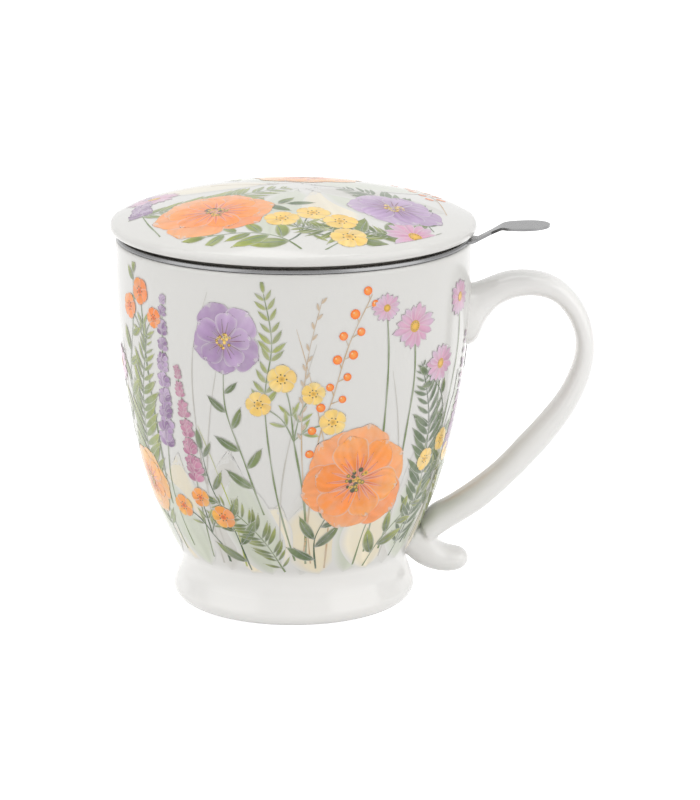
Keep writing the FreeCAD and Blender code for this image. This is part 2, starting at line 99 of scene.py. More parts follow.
def turned_form(name, outline, finish):
    """Turns an outline of (radius, height) in millimetres about the mug's upright axis."""
    bm = bmesh.new()
    points = [bm.verts.new((radius * MM, 0.0, height * MM)) for radius, height in outline]
    edges = [bm.edges.new(pair) for pair in zip(points, points[1:])]
    bmesh.ops.spin(bm, geom=points + edges, cent=(0, 0, 0), axis=(0, 0, 1), angle=2 * math.pi,
                   steps=TURNING_STEPS, use_merge=True)
    bmesh.ops.remove_doubles(bm, verts=bm.verts, dist=1e-7)
    bmesh.ops.recalc_face_normals(bm, faces=bm.faces)
    mesh = bpy.data.meshes.new(name)
    bm.to_mesh(mesh)
    bm.free()
    for polygon in mesh.polygons:
        polygon.use_smooth = True
    mesh.set_sharp_from_angle(angle=math.radians(SHARPEST_ROUND))
    mesh.materials.append(finish)
    piece = bpy.data.objects.new(name, mesh)
    bpy.context.scene.collection.objects.link(piece)
    return piece


# the porcelain with painted shade, greyed above the foot, for body, lip and lid
shaded_porcelain = fired_porcelain("porcelain", True)
coat_solid("mug_body", shaded_porcelain)
lip = turned_form("lip_glaze", lip_outline, shaded_porcelain)
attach(lip, "mug")

# Handle: a strap and a curled tail of the same porcelain, cast apart, stuck to the body
# with slip and glazed with it, so that every joint is a soft round. Each row holds the
# outer and the inner side of the outline as (x, z) and half the width, in millimetres.
strap_rows = (
    ((43.9, 84.9), (43.4, 68.4), 8.2), ((46.2, 85.0), (46.5, 68.6), 7.8),
    ((48.3, 85.3), (49.0, 70.2), 7.2), ((50.3, 86.0), (50.4, 73.5), 6.6),
    ((52.5, 86.9), (52.3, 76.9), 6.1), ((55.2, 87.9), (55.3, 79.9), 5.8),
    ((58.4, 88.6), (59.2, 81.5), 5.5), ((62.5, 88.7), (63.3, 82.0), 5.3),
    ((67.6, 87.8), (67.0, 81.4), 5.2), ((72.4, 85.2), (70.1, 79.7), 5.2),
    ((76.6, 80.7), (72.7, 76.6), 5.1), ((79.3, 75.2), (74.6, 72.8), 5.1),
    ((80.5, 68.9), (75.4, 68.6), 5.1), ((80.2, 63.3), (75.0, 64.4), 5.1),
    ((78.5, 57.0), (73.5, 59.9), 5.1), ((75.5, 50.6), (70.9, 54.8), 5.2),
    ((70.5, 43.1), (66.0, 48.4), 5.2), ((64.5, 36.0), (60.2, 41.9), 5.3),
    ((58.4, 29.7), (54.5, 35.7), 5.4), ((51.6, 23.5), (47.7, 30.0), 5.6),
    ((45.7, 19.6), (41.5, 25.7), 5.9), ((41.3, 16.9), (37.7, 23.6), 6.3),
    ((37.1, 13.9), (33.9, 20.2), 6.8))
tail_rows = (
    ((33.6, 19.1), (28.8, 11.8), 6.6), ((36.8, 17.6), (30.9, 9.8), 6.3),
    ((38.6, 15.8), (33.4, 7.7), 5.9), ((39.6, 13.8), (36.5, 6.2), 5.5),
    ((41.2, 12.5), (39.7, 5.4), 5.1), ((43.5, 11.9), (42.4, 5.3), 4.8),
    ((45.6, 11.4), (44.7, 5.7), 4.2), ((47.0, 10.2), (46.4, 6.7), 3.0),
    ((47.5, 9.0), (47.2, 8.0), 1.2))
steps_per_row = 4
points_round = 28
oval_power = 0.86
slip_grain = 0.00045
slip_strokes = 9


def smooth_through(four, t):
    """The value at t on a smooth curve from the second of four values to the third."""
    a, b, c, d = four
    return 0.5 * (2 * b + (c - a) * t + (2 * a - 5 * b + 4 * c - d) * t * t
                  + (3 * b - a - 3 * c + d) * t ** 3)


def full_oval(value):
    """Fills a sine or cosine out, for a section between an oval and a rounded bar."""
    return math.copysign(abs(value) ** oval_power, value)


bm = bmesh.new()
for rows in (strap_rows, tail_rows):
    steps = steps_per_row * (len(rows) - 1)
    made = bmesh.ops.create_grid(bm, x_segments=points_round, y_segments=steps, size=1.0)
    for vert in made["verts"]:
        step = int(round((vert.co.y + 1) / 2 * steps))
        first = min(step // steps_per_row, len(rows) - 2)
        t = step / steps_per_row - first
        around = [rows[min(max(first + offset, 0), len(rows) - 1)] for offset in (-1, 0, 1, 2)]
        around = [(*outer, *inner, half_width) for outer, inner, half_width in around]
        outer_x, outer_z, inner_x, inner_z, half_width = (
            smooth_through(four, t) for four in zip(*around))
        turn = math.pi * vert.co.x
        out = full_oval(math.cos(turn))
        aside = full_oval(math.sin(turn))
        vert.co = Vector(((outer_x + inner_x) / 2 + (outer_x - inner_x) / 2 * out,
                          half_width * aside,
                          (outer_z + inner_z) / 2 + (outer_z - inner_z) / 2 * out)) * MM
bmesh.ops.remove_doubles(bm, verts=bm.verts, dist=1e-6)
bmesh.ops.holes_fill(bm, edges=[edge for edge in bm.edges if edge.is_boundary], sides=0)
bmesh.ops.recalc_face_normals(bm, faces=bm.faces)
mesh = bpy.data.meshes.new("handle_form")
bm.to_mesh(mesh)
bm.free()
cast_handle = bpy.data.objects.new("handle_form", mesh)
bpy.context.scene.collection.objects.link(cast_handle)
knit = cast_handle.modifiers.new("knit", "REMESH")
knit.mode = "VOXEL"
knit.voxel_size = slip_grain
ease = cast_handle.modifiers.new("ease", "SMOOTH")
ease.factor = 0.5
ease.iterations = slip_strokes
depsgraph = bpy.context.evaluated_depsgraph_get()
handle_mesh = bpy.data.meshes.new_from_object(cast_handle.evaluated_get(depsgraph))
bpy.data.objects.remove(cast_handle)
for polygon in handle_mesh.polygons:
    polygon.use_smooth = True
handle_mesh.materials.clear()
# the handle gets the same porcelain without the painted shade, so it stays lighter than the body
handle_mesh.materials.append(fired_porcelain("porcelain_unshaded", False))
handle_mesh.name = "handle_glazed"
handle = bpy.data.objects.new("handle_glazed", handle_mesh)
bpy.context.scene.collection.objects.link(handle)
coat_solid("mug_handle", shaded_porcelain)
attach(handle, "mug")
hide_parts("mug_handle")

# Infuser: a slotted basket pressed from thin stainless sheet, with its rim rolled to a
# bead and a lifting tab welded to the bead. The brushed metal's gloss varies finely,
# and the bead is filled out here to its full round.
steel = bpy.data.materials.new("infuser_steel")
steel.use_nodes = True
nodes = steel.node_tree.nodes
links = steel.node_tree.links
brushed = nodes["Principled BSDF"]
brushed.inputs["Base Color"].default_value = (0.24, 0.24, 0.243, 1)
brushed.inputs["Metallic"].default_value = 1.0
place = nodes.new("ShaderNodeTexCoord")
grain = nodes.new("ShaderNodeTexNoise")
grain.inputs["Scale"].default_value = 900.0
spread = nodes.new("ShaderNodeMapRange")
spread.inputs["To Min"].default_value = 0.2
spread.inputs["To Max"].default_value = 0.32
links.new(place.outputs["Object"], grain.inputs["Vector"])
links.new(grain.outputs["Fac"], spread.inputs["Value"])
links.new(spread.outputs["Result"], brushed.inputs["Roughness"])
for name in ("infuser_rim", "infuser_wall", "infuser_base", "infuser_tab"):
    coat_solid(name, steel)
bead_outline = (
    (45.5, 98.42), (45.6, 98.8), (45.8, 99.05), (46.1, 99.17), (46.4, 99.1), (46.62, 98.9),
    (46.76, 98.6), (46.82, 98.3), (46.82, 98.06), (46.7, 97.97), (46.1, 97.8), (45.7, 97.9),
    (45.5, 98.1), (45.5, 98.42))
bead = turned_form("rim_bead", bead_outline, steel)
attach(bead, "infuser")

# Lid: a shallow dome of the same porcelain, pressed and turned, with a thick round brim
# and a locating ring below. It stands in the kiln on its seat, so the underside from
# the seat to the brim is left unglazed; that ring is also painted far darker than
# bisque, as painted shade for the dark gap under the brim.
coat_solid("lid", shaded_porcelain)
crown_top = 110.94
crown_edge = 41.0
crown_rise = 5.35
lid_wall = 4.6
ring_inside = 37.75
ring_outside = 41.15
ring_foot = 94.47
ring_round = 1.0
seat_height = 98.67
seat_edge = 43.9
brim_under = 99.95
brim_edge = 48.5
shoulder_radius = 47.9
shoulder_height = 102.72


def arc_run(start, end, radius, side, steps):
    """Points of an arc as (radius, height), after its start; side 1 bulges to the right."""
    (x0, z0), (x1, z1) = start, end
    chord = math.hypot(x1 - x0, z1 - z0)
    normal_x = (z1 - z0) / chord
    normal_z = -(x1 - x0) / chord
    back = math.sqrt(radius * radius - chord * chord / 4)
    centre_x = (x0 + x1) / 2 - normal_x * back * side
    centre_z = (z0 + z1) / 2 - normal_z * back * side
    first = math.atan2(z0 - centre_z, x0 - centre_x)
    last = math.atan2(z1 - centre_z, x1 - centre_x)
    while last - first > math.pi:
        last -= 2 * math.pi
    while first - last > math.pi:
        last += 2 * math.pi
    angles = [first + (last - first) * i / steps for i in range(1, steps + 1)]
    return [(centre_x + radius * math.cos(angle), centre_z + radius * math.sin(angle))
            for angle in angles]


crown_radius = (crown_edge ** 2 + crown_rise ** 2) / (2 * crown_rise)
hollow_radius = crown_radius - lid_wall
hollow_edge = crown_top - crown_radius + math.sqrt(hollow_radius ** 2 - ring_inside ** 2)
lid_outline = [(0.0, crown_top - lid_wall)]
lid_outline += arc_run(lid_outline[-1], (ring_inside, hollow_edge), hollow_radius, -1, 24)
lid_outline += [(ring_inside, ring_foot + ring_round)]
lid_outline += arc_run(lid_outline[-1], (ring_inside + ring_round, ring_foot), ring_round, 1, 6)
lid_outline += [(ring_outside - ring_round, ring_foot)]
lid_outline += arc_run(lid_outline[-1], (ring_outside, ring_foot + ring_round), ring_round, 1, 6)
lid_outline += [(ring_outside, seat_height - 0.3), (ring_outside + 0.3, seat_height)]
lid_outline += [(seat_edge, seat_height), (seat_edge + 0.2, brim_under - 0.05)]
lid_outline += [(46.2, brim_under), (47.1, brim_under)]
lid_outline += arc_run(lid_outline[-1], (brim_edge, 101.35), 1.4, 1, 8)
lid_outline += arc_run(lid_outline[-1], (shoulder_radius, shoulder_height), 2.2, 1, 8)
lid_outline += arc_run(lid_outline[-1], (crown_edge, crown_top - crown_rise), 36.0, 1, 14)
lid_outline += arc_run(lid_outline[-1], (0.0, crown_top), crown_radius, 1, 30)
shaded_bisque = bpy.data.materials.new("shaded_bisque")
shaded_bisque.use_nodes = True
nodes = shaded_bisque.node_tree.nodes
links = shaded_bisque.node_tree.links
clay = nodes["Principled BSDF"]
clay.inputs["Roughness"].default_value = 0.75
place = nodes.new("ShaderNodeTexCoord")
speck = nodes.new("ShaderNodeTexNoise")
speck.inputs["Scale"].default_value = 1500.0
tone = nodes.new("ShaderNodeMixRGB")
# painted shade: the unglazed ring's colour is set far darker than fired clay, to darken the gap under the
# brim
tone.inputs["Color1"].default_value = (0.30, 0.28, 0.25, 1)
tone.inputs["Color2"].default_value = (0.38, 0.36, 0.32, 1)
links.new(place.outputs["Object"], speck.inputs["Vector"])
links.new(speck.outputs["Fac"], tone.inputs["Fac"])
links.new(tone.outputs["Color"], clay.inputs["Base Color"])
lid = turned_form("lid_glazed", lid_outline, shaded_porcelain)
lid.data.materials.append(shaded_bisque)
# the faces under the brim, in the gap, get the darkened material as painted shade
for polygon in lid.data.polygons:
    radius = math.hypot(polygon.center.x, polygon.center.y) / MM
    height = polygon.center.z / MM
    if seat_edge - 0.1 < radius < 47.2 and height < brim_under + 0.01:
        polygon.material_index = 1
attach(lid, "lid")
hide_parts("lid")

# Printed decoration round the mug: a ceramic transfer, laid on the glaze as thin washes
# and fired in. Each wash is a patch of mesh that follows the wall, and its colour and
# strength are kept point by point. Lengths are in millimetres, angles in degrees.
ink = bpy.data.materials.new("print_wash")
ink.use_nodes = True
nodes = ink.node_tree.nodes
links = ink.node_tree.links
fired_ink = nodes["Principled BSDF"]
fired_ink.inputs["Roughness"].default_value = 0.13
fired_ink.inputs["IOR"].default_value = 1.5
tint = nodes.new("ShaderNodeAttribute")
tint.attribute_name = "tint"
place = nodes.new("ShaderNodeTexCoord")
pigment = nodes.new("ShaderNodeTexNoise")
pigment.inputs["Scale"].default_value = 420.0
pigment.inputs["Detail"].default_value = 5.0
gain = nodes.new("ShaderNodeMapRange")
gain.inputs["From Min"].default_value = 0.3
gain.inputs["From Max"].default_value = 0.7
gain.inputs["To Min"].default_value = 0.90
gain.inputs["To Max"].default_value = 1.10
dose = nodes.new("ShaderNodeMath")
dose.operation = "MULTIPLY"
dose.use_clamp = True
laid = nodes.new("ShaderNodeMixRGB")
# the colour a wash fades to is the glaze's white with the painted shade grey multiplied in
laid.inputs["Color1"].default_value = (0.665, 0.657, 0.632, 1)
links.new(place.outputs["Object"], pigment.inputs["Vector"])
links.new(pigment.outputs["Fac"], gain.inputs["Value"])
links.new(gain.outputs["Result"], dose.inputs[0])
links.new(tint.outputs["Alpha"], dose.inputs[1])
links.new(dose.outputs["Value"], laid.inputs["Fac"])
links.new(tint.outputs["Color"], laid.inputs["Color2"])
links.new(laid.outputs["Color"], fired_ink.inputs["Base Color"])

ORANGE = (0.85, 0.15, 0.006)
APRICOT = (0.90, 0.36, 0.06)
YELLOW = (0.86, 0.50, 0.06)
STRAW = (0.86, 0.66, 0.24)
CREAM = (0.85, 0.74, 0.50)
MAUVE = (0.38, 0.08, 0.20)
PINK = (0.64, 0.26, 0.40)
VIOLET = (0.17, 0.05, 0.22)
LILAC = (0.56, 0.40, 0.62)
SAGE = (0.16, 0.22, 0.085)
MOSS = (0.045, 0.09, 0.03)
LIME = (0.38, 0.42, 0.06)
TAN = (0.52, 0.36, 0.20)
BARK = (0.12, 0.07, 0.04)
RUST = (0.25, 0.05, 0.0)
UMBER = (0.1, 0.07, 0.04)
MIST = (0.50, 0.55, 0.40)
SMOKE = (0.50, 0.48, 0.43)
# WHITE is the glaze's white with the painted shade grey multiplied in
WHITE = (0.66, 0.65, 0.63)
FULL_TURN = 6.28

waist = (31.44, 13.9)
belly = (42.05, 43.2)
mouth = (47.1, 96.0)
mug_wall = [waist] + arc_run(waist, belly, 120.0, 1, 60) + arc_run(belly, mouth, 220.0, 1, 90)


class MugSkin:
    """A spot on the mug's wall, by its turn from the front and its height."""
    lengths = [0.0]
    for before, after in zip(mug_wall, mug_wall[1:]):
        lengths.append(lengths[-1] + math.hypot(after[0] - before[0], after[1] - before[1]))

    def __init__(self, turn, height):
        self.turn = math.radians(turn)
        self.along = self.length_at(height)

    def length_at(self, height):
        """How far up the wall, measured along it from the waist, a height lies."""
        for i in range(len(mug_wall) - 1):
            if mug_wall[i + 1][1] >= height:
                break
        part = (height - mug_wall[i][1]) / (mug_wall[i + 1][1] - mug_wall[i][1])
        return self.lengths[i] + part * (self.lengths[i + 1] - self.lengths[i])

    def spot(self, u, v, lift):
        """The place u to the right of the spot, v up the wall and lift out from the glaze."""
        length = min(max(self.along + v, 0.0), self.lengths[-1] - 0.01)
        low = 0
        high = len(self.lengths) - 1
        while high - low > 1:
            middle = (low + high) // 2
            if self.lengths[middle] <= length:
                low = middle
            else:
                high = middle
        step = self.lengths[high] - self.lengths[low]
        part = (length - self.lengths[low]) / step
        (r0, z0), (r1, z1) = mug_wall[low], mug_wall[high]
        radius = r0 + (r1 - r0) * part
        height = z0 + (z1 - z0) * part
        turn = self.turn + u / radius
        radius += (z1 - z0) / step * lift
        height -= (r1 - r0) / step * lift
        return Vector((radius * math.sin(turn), -radius * math.cos(turn), height)) * MM


def mix(first, second, share):
    """A colour between two, with the given share of the second."""
    return tuple(p + (q - p) * share for p, q in zip(first, second))


class Painter:
    """Lays thin patches of colour on a skin and keeps them in one mesh."""
    # heights of the coats above the glaze, in the order in which they are laid
    WASH = 0.045
    BLADE = 0.12
    STALK = 0.125
    SIDE_STALK = 0.128
    TWIG = 0.13
    FROND = 0.135
    LEAF = 0.14
    LEAF_TIP = 0.145
    BERRY = 0.16
    VEIN = 0.168
    FLORET = 0.18
    PETAL = 0.195
    GLINT = 0.2
    EYE = 0.245
    RAY = 0.252
    SEED = 0.262
    DAB = 0.285
    # steps between neighbours of one kind, so that no two lie in one plane
    NEXT_RING = 0.03
    NEXT_DAB = 0.001
    NEXT_BERRY = 0.002
    NEXT_FLORET = 0.01
    LAYERS = 8
    # how finely a patch is divided
    FEWEST_ACROSS = 4
    MOST_ACROSS = 18
    FEWEST_ALONG = 7
    MOST_ALONG = 44
    SLIMMEST = 0.015

    def __init__(self, seed):
        self.bm = bmesh.new()
        self.tint = self.bm.verts.layers.float_color.new("tint")
        self.rng = random.Random(seed)
        self.layer = 0

    def petal(self, skin, u0, v0, angle, length, width, near, far, lift, peak=0.5, foot=0.9,
              point=0.9, bend=0.0, notch=0.0, streak=0.12, pool=0.15, soft=0.3, depth=1.0,
              ragged=0.0, fine=0.85, edge=0.45, gap=0.0035):
        """A petal or leaf from its foot, pointing along angle (0 is up), with soft edges."""
        rng = self.rng
        self.layer = (self.layer + 1) % self.LAYERS
        lift += gap * self.layer
        across = min(max(self.FEWEST_ACROSS, int(width / fine)), self.MOST_ACROSS)
        along = min(max(self.FEWEST_ALONG, int(length / fine)), self.MOST_ALONG)
        made = bmesh.ops.create_grid(self.bm, x_segments=across, y_segments=along, size=1.0)
        cosine = math.cos(math.radians(angle))
        sine = math.sin(math.radians(angle))
        phase = rng.uniform(0, FULL_TURN)
        marks = [rng.uniform(-1, 1) for _ in range(across + 3)]
        dark = mix(far, UMBER, 0.4)
        for vert in made["verts"]:
            column = int(round((vert.co.x + 1) / 2 * across))
            x = math.sin(vert.co.x * math.pi / 2)
            t = 1 - (1 - (vert.co.y + 1) / 2) ** 1.5
            if t < peak:
                form = (1 - (1 - t / peak) ** 2) ** foot
            else:
                form = (1 - ((t - peak) / (1 - peak)) ** 2) ** point
            half = width / 2 * max(form, self.SLIMMEST)
            half *= 1 + ragged * math.sin(9 * t + phase + 2 * x)
            dip = notch * math.exp(-(x / 0.32) ** 2) * t ** 5
            wave = 1 + ragged * 0.45 * math.sin(8 * x + phase) * t ** 3
            aside = x * half + bend * length * t * t
            ahead = t * length * wave * (1 - dip - 0.1 * x * x * t ** 4)
            vert.co = skin.spot(u0 + aside * cosine + ahead * sine,
                                v0 - aside * sine + ahead * cosine, lift)
            strength = depth * (1 - 0.1 * (0.5 + 0.5 * math.sin(5 * t + phase)))
            colour = mix(near, far, t)
            colour = mix(colour, mix(colour, near, 0.8), max(0.0, streak * 4 * marks[column] * (1 - t)))
            shade = 1 + streak * marks[column + 1] * (1.2 - t)
            colour = tuple(min(max(part * shade, 0.0), 1.0) for part in colour)
            rim = min((1 - abs(x)) * half, (1 - t) * length * 0.7)
            colour = mix(colour, dark, pool * math.exp(-(rim / 0.5) ** 2))
            strength *= min(1.0, edge + (1 - edge) * rim / soft)
            vert[self.tint] = (*colour, min(strength, 1.0))

    def stem(self, skin, points, thick, colour, lift, end_thick=None):
        """A painted line through points (u, v), tapering to its end; returns its run."""
        run = []
        for i in range(len(points) - 1):
            four = (points[max(i - 1, 0)], points[i], points[i + 1], points[min(i + 2, len(points) - 1)])
            reach = math.hypot(four[2][0] - four[1][0], four[2][1] - four[1][1])
            steps = max(2, int(reach / 1.2))
            for step in range(steps):
                run.append(tuple(smooth_through(values, step / steps) for values in zip(*four)))
        run.append(tuple(points[-1]))
        last = len(run) - 1
        end_thick = thick * 0.5 if end_thick is None else end_thick
        made = bmesh.ops.create_grid(self.bm, x_segments=2, y_segments=last, size=1.0)
        phase = self.rng.uniform(0, FULL_TURN)
        for vert in made["verts"]:
            k = int(round((vert.co.y + 1) / 2 * last))
            before = run[max(k - 1, 0)]
            after = run[min(k + 1, last)]
            reach = math.hypot(after[0] - before[0], after[1] - before[1]) or 1.0
            half = (thick + (end_thick - thick) * k / last) / 2 * vert.co.x
            half *= 1 + 0.2 * math.sin(k * 0.7 + phase)
            u = run[k][0] + (after[1] - before[1]) / reach * half
            v = run[k][1] - (after[0] - before[0]) / reach * half
            vert.co = skin.spot(u, v, lift)
            vert[self.tint] = (*colour, 0.85 + 0.15 * math.sin(k * 0.45 + phase))
        return run

    def along(self, run, t):
        """The point at the share t of a stem, and the stem's heading there."""
        i = min(int(t * (len(run) - 1)), len(run) - 2)
        here, after = run[i], run[i + 1]
        return here, math.degrees(math.atan2(after[0] - here[0], after[1] - here[1]))

    def dot(self, skin, u, v, radius, inner, outer, lift):
        """A round dab of colour."""
        sides = 14 if radius > 0.9 else 9
        made = bmesh.ops.create_circle(self.bm, cap_ends=True, cap_tris=True, segments=sides,
                                       radius=1.0)
        for vert in made["verts"]:
            x = vert.co.x
            y = vert.co.y
            vert[self.tint] = (*mix(inner, outer, math.hypot(x, y)), 1)
            vert.co = skin.spot(u + x * radius, v + y * radius, lift)

    def wash(self, skin, angle, length, width, colour, depth=0.5):
        """A pale, soft-edged stroke behind the plants."""
        self.petal(skin, 0, 0, angle, length, width, colour, mix(colour, WHITE, 0.25), self.WASH,
                   peak=0.45, foot=0.7, point=0.7, streak=0.1, pool=0.0, soft=width * 0.16,
                   depth=depth, ragged=0.06, fine=0.9, edge=0.0, gap=0.009)

    def bloom(self, skin, radius, petals, near, far, heart, turn=0.0, notch=0.1):
        """A broad open flower: back petals, front petals, fine rays and a dabbed centre."""
        rng = self.rng
        for ring in (0, 1):
            for k in range(petals):
                angle = turn + 360.0 * (k + 0.5 * ring) / petals + rng.uniform(-7, 7)
                size = radius * (1.0, 0.82)[ring] * rng.uniform(0.9, 1.08)
                pale = mix(far, WHITE, 0.18) if ring == 0 else far
                self.petal(skin, 0, 0, angle, size, size * (0.92, 0.74)[ring], mix(near, pale, 0.3),
                           mix(pale, near, rng.random() * 0.45), self.PETAL + self.NEXT_RING * ring,
                           peak=0.66, foot=1.0, point=0.5, notch=notch, streak=0.2, pool=0.22,
                           soft=0.35, ragged=0.05, fine=0.7, bend=rng.uniform(-0.05, 0.05))
        rays = petals * 3
        for k in range(rays):
            angle = turn + 360.0 * k / rays + rng.uniform(-5, 5)
            self.petal(skin, 0, 0, angle, radius * rng.uniform(0.42, 0.62), radius * 0.05,
                       mix(near, RUST, 0.55), near, self.RAY, peak=0.5, pool=0.0, soft=0.2)
        dabs = 26
        for k in range(dabs):
            way = rng.uniform(0, FULL_TURN)
            out = radius * 0.2 * math.sqrt(rng.random())
            self.dot(skin, out * math.cos(way), out * math.sin(way), radius * rng.uniform(0.025, 0.05),
                     heart[k % len(heart)], heart[(k + 1) % len(heart)], self.DAB + self.NEXT_DAB * k)

    def daisy(self, skin, radius, turn=0.0, squash=1.0):
        """A flower with slender rays round a domed eye."""
        rng = self.rng
        far = mix(LILAC, WHITE, 0.35)
        rays = 15
        for k in range(rays):
            angle = turn + 360.0 * k / rays + rng.uniform(-4, 4)
            size = radius * rng.uniform(0.88, 1.06)
            size *= 1 - (1 - squash) * abs(math.cos(math.radians(angle)))
            self.petal(skin, 0, 0, angle, size, radius * 0.3, PINK, mix(far, PINK, rng.random() * 0.5),
                       self.PETAL, peak=0.6, foot=0.8, point=0.55, streak=0.2, pool=0.25, soft=0.22,
                       bend=rng.uniform(-0.06, 0.06), fine=0.6)
        self.dot(skin, 0, 0, radius * 0.22, YELLOW, mix(YELLOW, BARK, 0.45), self.EYE)
        seeds = 12
        for k in range(seeds):
            way = FULL_TURN * k / seeds
            self.dot(skin, radius * 0.17 * math.cos(way), radius * 0.17 * math.sin(way) * squash,
                     radius * 0.05, BARK, YELLOW, self.SEED)

    def leafy(self, skin, points, pairs, length, width, near, far, stalk, start=0.15,
              spread=52, alternate=True):
        """A curved stem with leaves along it."""
        run = self.stem(skin, points, 0.5, stalk, self.STALK, 0.2)
        rng = self.rng
        for k in range(pairs):
            t = start + (1 - start) * (k + 0.5) / pairs
            (u, v), heading = self.along(run, t)
            size = length * (1.05 - 0.5 * t) * rng.uniform(0.85, 1.12)
            sides = ((1,) if k % 2 else (-1,)) if alternate else (-1, 1)
            for side in sides:
                pale = mix(far, LIME, rng.random() * 0.5)
                self.petal(skin, u, v, heading + side * (spread + rng.uniform(-8, 8)), size,
                           width * size / length, near, pale, self.LEAF, peak=0.4, point=1.0,
                           bend=-0.14 * side, streak=0.25, pool=0.3, soft=0.25)
                self.petal(skin, u, v, heading + side * spread, size * 0.8, width * 0.1,
                           mix(near, MOSS, 0.7), mix(near, MOSS, 0.3), self.VEIN, bend=-0.14 * side,
                           pool=0.0, soft=0.1)
        heading = self.along(run, 1.0)[1]
        self.petal(skin, run[-1][0], run[-1][1], heading, length * 0.62, width * 0.62, near, far,
                   self.LEAF_TIP, peak=0.4, streak=0.25, pool=0.3, soft=0.25)

    def fern(self, skin, points, pairs, length, near, far, stalk):
        """A frond: close pairs of narrow leaflets that shorten towards the tip."""
        run = self.stem(skin, points, 0.45, stalk, self.STALK, 0.2)
        rng = self.rng
        bare = 0.12
        for k in range(pairs):
            (u, v), heading = self.along(run, bare + (1 - bare) * k / pairs)
            swell = math.sin(math.pi * (0.22 + 0.76 * k / pairs)) ** 0.8
            for side in (-1, 1):
                size = length * swell * rng.uniform(0.85, 1.1)
                self.petal(skin, u, v, heading + side * rng.uniform(50, 62), size,
                           max(size * 0.2, 0.7), near, mix(far, near, rng.random() * 0.6), self.FROND,
                           peak=0.45, bend=-0.16 * side, streak=0.15, pool=0.15, soft=0.2)

    def spike(self, skin, points, whorls, near, far, size):
        """An upright flower spike, thick at the middle and pointed at the top."""
        run = self.stem(skin, points, 0.42, SAGE, self.STALK, 0.2)
        rng = self.rng
        bare = 0.45
        for k in range(whorls):
            t = bare + (1 - bare) * k / (whorls - 1)
            (u, v), heading = self.along(run, t)
            girth = 1.15 - 0.75 * (t - bare) / (1 - bare)
            for side in (-1.0, -0.45, 0.1, 0.5, 1.0):
                reach = size * girth * rng.uniform(0.85, 1.2)
                tone = mix(near, far, rng.random())
                self.petal(skin, u, v, heading + side * rng.uniform(48, 66), reach, reach * 0.58,
                           mix(tone, near, 0.5), mix(tone, WHITE, 0.15),
                           self.FLORET + self.NEXT_FLORET * (k % 3), peak=0.6, foot=0.8, point=0.6,
                           streak=0.2, pool=0.3, soft=0.2, fine=0.6)

    def buttercups(self, skin, foot, fork, heads, near, far, stalk, radius):
        """Small cupped flowers on a forked stem, with narrow leaves at the fork."""
        rng = self.rng
        petals = 5
        seeds = 7
        bow = ((foot[0] + fork[0]) / 2 + 1.2, (foot[1] + fork[1]) / 2)
        self.stem(skin, [foot, bow, fork], 0.62, stalk, self.STALK, 0.45)
        for x, y in heads:
            dx = x - fork[0]
            dy = y - fork[1]
            self.stem(skin, [fork, (fork[0] + dx * 0.35, fork[1] + dy * 0.6), (x, y)], 0.4, stalk,
                      self.SIDE_STALK, 0.3)
            lean = math.degrees(math.atan2(dx, dy))
            for side in (-1, 1):
                self.petal(skin, fork[0] + dx * 0.2, fork[1] + dy * 0.4, lean + side * 42, radius * 1.3,
                           radius * 0.3, stalk, LIME, self.FROND, bend=-0.1 * side)
            turn = rng.uniform(0, 72)
            size = radius * rng.uniform(0.85, 1.15)
            for k in range(petals):
                self.petal(skin, x, y, turn + 360 / petals * k, size, size * 0.95, mix(near, far, 0.3),
                           mix(far, near, rng.random() * 0.7), self.PETAL, peak=0.66, foot=0.9,
                           point=0.5, notch=0.1, streak=0.2, pool=0.25, soft=0.25, fine=0.6)
            self.dot(skin, x, y, size * 0.2, mix(near, BARK, 0.6), near, self.EYE)
            for k in range(seeds):
                way = FULL_TURN * k / seeds
                self.dot(skin, x + size * 0.3 * math.cos(way), y + size * 0.3 * math.sin(way),
                         size * 0.05, BARK, MOSS, self.SEED)

    def berries(self, skin, points, count, size, start=0.3):
        """A twig with round orange berries on short stalks."""
        run = self.stem(skin, points, 0.42, TAN, self.STALK, 0.2)
        rng = self.rng
        for k in range(count):
            (u, v), heading = self.along(run, start + (1 - start) * (k + 0.5) / count)
            side = 1 if k % 2 else -1
            way = math.radians(heading + side * rng.uniform(35, 60))
            reach = size * rng.uniform(1.8, 2.8)
            x = u + reach * math.sin(way)
            y = v + reach * math.cos(way)
            self.stem(skin, [(u, v), (u * 0.5 + x * 0.5 + 0.1, v * 0.5 + y * 0.5), (x, y)], 0.26, TAN,
                      self.TWIG, 0.2)
            self.dot(skin, x, y, size * rng.uniform(0.75, 1.05), APRICOT, ORANGE,
                     self.BERRY + self.NEXT_BERRY * k)
            self.dot(skin, x - size * 0.3, y + size * 0.3, size * 0.25, mix(APRICOT, WHITE, 0.6),
                     APRICOT, self.GLINT + self.NEXT_BERRY * k)

    def grass(self, skin, points, colour, thick, grains=0):
        """A thin blade, or a seed stalk with grains on both sides."""
        run = self.stem(skin, points, thick, colour, self.BLADE, 0.1)
        for k in range(grains):
            (u, v), heading = self.along(run, 0.5 + 0.5 * k / grains)
            side = 1 if k % 2 else -1
            self.petal(skin, u, v, heading + side * 28, 2.4, 0.8, colour, mix(colour, WHITE, 0.3),
                       self.LEAF, soft=0.2)

    def finish(self, name):
        """Makes the patches one piece; so thin a print throws no shadow of its own."""
        mesh = bpy.data.meshes.new(name)
        self.bm.to_mesh(mesh)
        self.bm.free()
        for polygon in mesh.polygons:
            polygon.use_smooth = True
        mesh.materials.append(ink)
        piece = bpy.data.objects.new(name, mesh)
        piece.visible_shadow = False
        bpy.context.scene.collection.objects.link(piece)
        return piece


